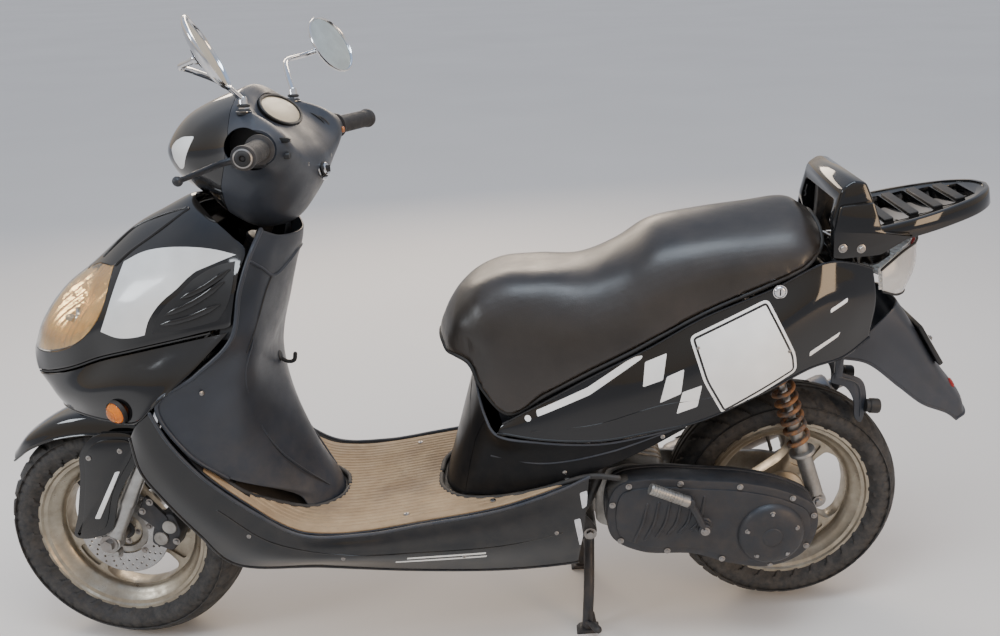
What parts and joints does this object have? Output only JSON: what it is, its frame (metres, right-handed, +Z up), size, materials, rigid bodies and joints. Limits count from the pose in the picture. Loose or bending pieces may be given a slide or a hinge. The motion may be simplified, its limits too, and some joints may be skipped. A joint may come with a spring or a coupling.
{
  "type": "motor scooter",
  "caption": "Step-through motor scooter with twin rear shocks, flat tan floor mat, stepped dual seat, rear rack, round mirrors and a centre stand; steering slightly turned.",
  "frame": {"origin": "on the ground under the middle of the overall length, on the chassis midplane to within a few millimetres", "axes": "+Z up; the scooter faces -X, so +X points to its tail; +Y points to its right side"},
  "size_m": [1.979, 0.6891, 1.2636],
  "materials": {
    "gloss_black_panel": "gloss",
    "matte_black_plastic": "matte",
    "seat_vinyl": "satin",
    "tan_mat": "matte",
    "frame_steel": "satin",
    "engine_alloy": "matte",
    "wheel_alloy": "satin",
    "fork_alloy": "satin",
    "chromed_steel": "polished",
    "bright_steel": "satin",
    "rusty_spring": "satin",
    "tyre_rubber": "matte",
    "grip_rubber": "matte",
    "clear_lens": "gloss",
    "amber_lens": "gloss",
    "mirror_shell": "polished",
    "exhaust_alloy": "satin"
  },
  "bodies": {
    "chassis": {"frame": "frame_steel", "nose_cowl": "gloss_black_panel", "headlight_lens": "clear_lens", "front_apron": "gloss_black_panel", "front_signal_left": "amber_lens", "front_signal_right": "amber_lens", "leg_shield": "matte_black_plastic", "floor_board": "matte_black_plastic", "floor_mat": "tan_mat", "side_skirt_left": "gloss_black_panel", "side_skirt_right": "gloss_black_panel", "pod_cover": "matte_black_plastic", "side_cover_left": "gloss_black_panel", "side_cover_right": "gloss_black_panel", "storage_tub": "matte_black_plastic", "tail_cover": "gloss_black_panel", "tail_lamp": "clear_lens", "rear_fender": "matte_black_plastic", "rear_rack": "gloss_black_panel"},
    "steering": {"fork_yoke": "chromed_steel", "handlebar": "frame_steel", "handlebar_cover_front": "gloss_black_panel", "handlebar_cover_rear": "matte_black_plastic", "instrument_pod": "clear_lens", "left_grip": "grip_rubber"},
    "fork_lower": {"fork_leg_left": "fork_alloy", "fork_leg_right": "fork_alloy", "front_axle": "bright_steel", "front_fender": "gloss_black_panel", "brake_caliper": "engine_alloy"},
    "front_wheel": {"front_tyre": "tyre_rubber", "front_rim": "wheel_alloy", "brake_disc": "bright_steel"},
    "rear_brake_lever": {"brake_lever_left": "engine_alloy"},
    "front_brake_lever": {"brake_lever_right": "engine_alloy"},
    "throttle": {"throttle_grip": "grip_rubber"},
    "ignition": {"ignition_lock": "chromed_steel"},
    "starter": {"starter_button": "amber_lens"},
    "horn": {"horn_button": "matte_black_plastic"},
    "turn_signal_switch": {"turn_switch": "matte_black_plastic"},
    "left_mirror_arm": {"mirror_stem_left": "chromed_steel"},
    "right_mirror_arm": {"mirror_stem_right": "chromed_steel"},
    "left_mirror": {"mirror_head_left": "mirror_shell"},
    "right_mirror": {"mirror_head_right": "mirror_shell"},
    "engine_unit": {"engine_case": "engine_alloy", "cvt_cover": "engine_alloy", "cooling_shroud": "matte_black_plastic", "muffler": "exhaust_alloy"},
    "kick_starter": {"kick_lever": "fork_alloy"},
    "rear_wheel": {"rear_tyre": "tyre_rubber", "rear_rim": "wheel_alloy"},
    "left_shock_upper": {"shock_body_left": "bright_steel", "shock_spring_left": "rusty_spring"},
    "left_shock_lower": {"shock_foot_left": "bright_steel"},
    "right_shock_upper": {"shock_body_right": "bright_steel", "shock_spring_right": "rusty_spring"},
    "right_shock_lower": {"shock_foot_right": "bright_steel"},
    "seat": {"seat_cushion": "seat_vinyl", "seat_pan": "matte_black_plastic"},
    "stand": {"centre_stand": "frame_steel"}
  },
  "joints": [
    {"name": "steering_turn", "type": "hinge", "parent": "chassis", "child": "steering", "pos_m": [-0.52614, -0.005, 0.60133], "axis": [0.454, 0, 0.891], "range_deg": [-31, 49]},
    {"name": "fork_travel", "type": "slide", "parent": "steering", "child": "fork_lower", "axis": [0.454, 0, 0.891], "range_m": [0, 0.03], "stiffness_N_per_m": 16000, "springref_m": -0.05},
    {"name": "front_wheel_spin", "type": "hinge", "parent": "fork_lower", "child": "front_wheel", "pos_m": [-0.74762, 0.00047, 0.2428], "axis": [0.1394, 0.9877, -0.071], "continuous": true},
    {"name": "rear_brake_squeeze", "type": "hinge", "parent": "steering", "child": "rear_brake_lever", "pos_m": [-0.3753, -0.18184, 1.02889], "axis": [0.005, 0.071, 0.9975], "range_deg": [0, 20], "stiffness_Nm_per_rad": 1.5, "springref_deg": -8.59},
    {"name": "front_brake_squeeze", "type": "hinge", "parent": "steering", "child": "front_brake_lever", "pos_m": [-0.32401, 0.18163, 1.00276], "axis": [-0.005, -0.071, -0.9975], "range_deg": [0, 20], "stiffness_Nm_per_rad": 1.5, "springref_deg": -8.59},
    {"name": "throttle_twist", "type": "hinge", "parent": "steering", "child": "throttle", "pos_m": [-0.25812, 0.24016, 1.01662], "axis": [0.3404, 0.9391, -0.0479], "range_deg": [0, 75], "stiffness_Nm_per_rad": 0.4, "springref_deg": -11.46},
    {"name": "ignition_turn", "type": "hinge", "parent": "steering", "child": "ignition", "pos_m": [-0.28552, -0.01243, 0.97027], "axis": [0.9696, -0.1216, 0.2125], "range_deg": [0, 90]},
    {"name": "starter_press", "type": "slide", "parent": "steering", "child": "starter", "axis": [-0.9902, 0.1394, -0.005], "range_m": [0, 0.003], "stiffness_N_per_m": 400, "springref_m": -0.002},
    {"name": "horn_press", "type": "slide", "parent": "steering", "child": "horn", "axis": [-0.9902, 0.1394, -0.005], "range_m": [0, 0.003], "stiffness_N_per_m": 400, "springref_m": -0.002},
    {"name": "turn_switch_slide", "type": "slide", "parent": "steering", "child": "turn_signal_switch", "axis": [0.1394, 0.9877, -0.071], "range_m": [-0.004, 0.004]},
    {"name": "left_mirror_swivel", "type": "hinge", "parent": "steering", "child": "left_mirror_arm", "pos_m": [-0.37163, -0.10985, 1.10796], "axis": [0.005, 0.071, 0.9975], "range_deg": [-25, 25]},
    {"name": "right_mirror_swivel", "type": "hinge", "parent": "steering", "child": "right_mirror_arm", "pos_m": [-0.33873, 0.12325, 1.0912], "axis": [0.005, 0.071, 0.9975], "range_deg": [-25, 25]},
    {"name": "left_mirror_tilt", "type": "hinge", "parent": "left_mirror_arm", "child": "left_mirror", "pos_m": [-0.38545, -0.27996, 1.20041], "axis": [0.1426, -0.9873, 0.0696], "range_deg": [-10, 10]},
    {"name": "right_mirror_tilt", "type": "hinge", "parent": "right_mirror_arm", "child": "right_mirror", "pos_m": [-0.30335, 0.30181, 1.15858], "axis": [-0.4103, -0.9095, 0.0668], "range_deg": [-10, 10]},
    {"name": "engine_swing", "type": "hinge", "parent": "chassis", "child": "engine_unit", "pos_m": [0.192, -0.005, 0.412], "axis": [0, -1, 0], "range_deg": [0, 7]},
    {"name": "rear_wheel_spin", "type": "hinge", "parent": "engine_unit", "child": "rear_wheel", "pos_m": [0.615, -0.005, 0.254], "axis": [0, 1, 0], "continuous": true},
    {"name": "kick_start", "type": "hinge", "parent": "engine_unit", "child": "kick_starter", "pos_m": [0.418, -0.205, 0.29], "axis": [0, -1, 0], "range_deg": [0, 50], "stiffness_Nm_per_rad": 2, "springref_deg": -34.38},
    {"name": "left_shock_tilt", "type": "hinge", "parent": "chassis", "child": "left_shock_upper", "pos_m": [0.535, -0.117, 0.672], "axis": [0, -1, 0], "range_deg": [0, 5.25]},
    {"name": "left_shock_compression", "type": "slide", "parent": "left_shock_upper", "child": "left_shock_lower", "axis": [-0.317, 0, 0.9484], "range_m": [0, 0.05245], "stiffness_N_per_m": 9000, "springref_m": -0.03, "deforming": ["shock_spring_left"]},
    {"name": "right_shock_tilt", "type": "hinge", "parent": "chassis", "child": "right_shock_upper", "pos_m": [0.535, 0.107, 0.672], "axis": [0, -1, 0], "range_deg": [0, 5.25]},
    {"name": "right_shock_compression", "type": "slide", "parent": "right_shock_upper", "child": "right_shock_lower", "axis": [-0.317, 0, 0.9484], "range_m": [0, 0.05245], "stiffness_N_per_m": 9000, "springref_m": -0.03, "deforming": ["shock_spring_right"]},
    {"name": "seat_open", "type": "hinge", "parent": "chassis", "child": "seat", "pos_m": [-0.048, -0.005, 0.588], "axis": [0, -1, 0], "range_deg": [0, 68]},
    {"name": "stand_fold", "type": "hinge", "parent": "chassis", "child": "stand", "pos_m": [0.204, -0.005, 0.206], "axis": [0, -1, 0], "range_deg": [0, 75]}
  ],
  "couplings": [
    {"joint": "left_shock_tilt", "follows": "engine_swing", "ratio": 0.67825},
    {"joint": "left_shock_compression", "follows": "engine_swing", "m_per_rad": 0.41291},
    {"joint": "right_shock_tilt", "follows": "engine_swing", "ratio": 0.67825},
    {"joint": "right_shock_compression", "follows": "engine_swing", "m_per_rad": 0.41291}
  ]
}
